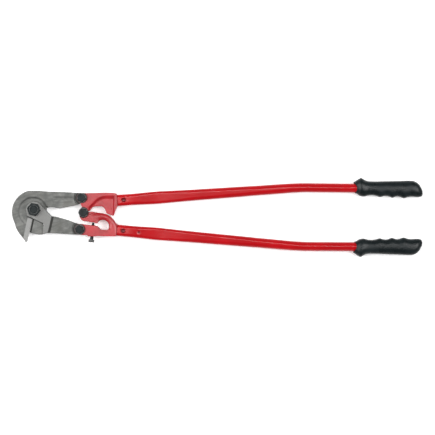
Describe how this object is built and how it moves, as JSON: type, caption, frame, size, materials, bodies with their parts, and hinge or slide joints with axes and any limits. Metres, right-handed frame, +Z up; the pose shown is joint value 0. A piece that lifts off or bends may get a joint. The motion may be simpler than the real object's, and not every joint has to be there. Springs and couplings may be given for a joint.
{
  "type": "bolt cutters",
  "caption": "Long two-handed mesh cutter with a hooked upper jaw, forked forged yokes, flattened tubular handles and rubber grips.",
  "frame": {"origin": "on the jaw pivot's axis, at the flat head of the jaw pivot bolt that the tool rests on", "axes": "+X from the jaws to the grips, +Y towards the upper handle, +Z up out of the table along the pivot axes"},
  "size_m": [0.9474, 0.1807, 0.0424],
  "materials": {
    "jaw_steel": "forged, scale brushed off, cutting faces ground",
    "bolt_steel": "black oxide, satin",
    "yoke_paint": "semi-gloss enamel over forged surface",
    "tube_paint": "gloss enamel",
    "grip_rubber": "matt moulded rubber"
  },
  "bodies": {
    "lower_handle": {"lower_yoke": "yoke_paint", "lower_tube": "tube_paint", "lower_grip": "grip_rubber", "lower_link_bolt": "bolt_steel", "lower_link_washer": "bolt_steel", "lower_link_nut": "bolt_steel"},
    "upper_handle": {"upper_yoke": "yoke_paint", "upper_tube": "tube_paint", "upper_grip": "grip_rubber", "upper_link_bolt": "bolt_steel", "upper_link_washer": "bolt_steel", "upper_link_nut": "bolt_steel", "handle_pivot_bolt": "bolt_steel", "handle_pivot_washer": "bolt_steel", "handle_pivot_nut": "bolt_steel"},
    "lower_jaw_body": {"lower_jaw": "jaw_steel", "jaw_pivot_bolt": "bolt_steel", "jaw_pivot_washer": "bolt_steel", "jaw_pivot_nut": "bolt_steel"},
    "upper_jaw_body": {"upper_jaw": "jaw_steel"},
    "adjuster": {"adjusting_screw": "bolt_steel"}
  },
  "joints": [
    {"name": "handle_opening", "type": "hinge", "parent": "lower_handle", "child": "upper_handle", "pos_m": [0.113, -0.007, 0.017], "axis": [0, 0, 1], "range_deg": [0, 85]},
    {"name": "lower_jaw_link", "type": "hinge", "parent": "lower_handle", "child": "lower_jaw_body", "pos_m": [0.105, -0.046, 0.017], "axis": [0, 0, 1], "range_deg": [-1, 45]},
    {"name": "jaw_opening", "type": "hinge", "parent": "lower_jaw_body", "child": "upper_jaw_body", "pos_m": [0, 0, 0.017], "axis": [0, 0, -1], "range_deg": [-1, 13]},
    {"name": "adjuster_turn", "type": "hinge", "parent": "lower_handle", "child": "adjuster", "pos_m": [0.1314, -0.0707, 0.017], "axis": [0.1045, 0.9945, 0], "range_deg": [-180, 180]}
  ],
  "couplings": [
    {"joint": "lower_jaw_link", "follows": "handle_opening", "ratio": 0.5153},
    {"joint": "jaw_opening", "follows": "handle_opening", "ratio": 0.1459}
  ]
}
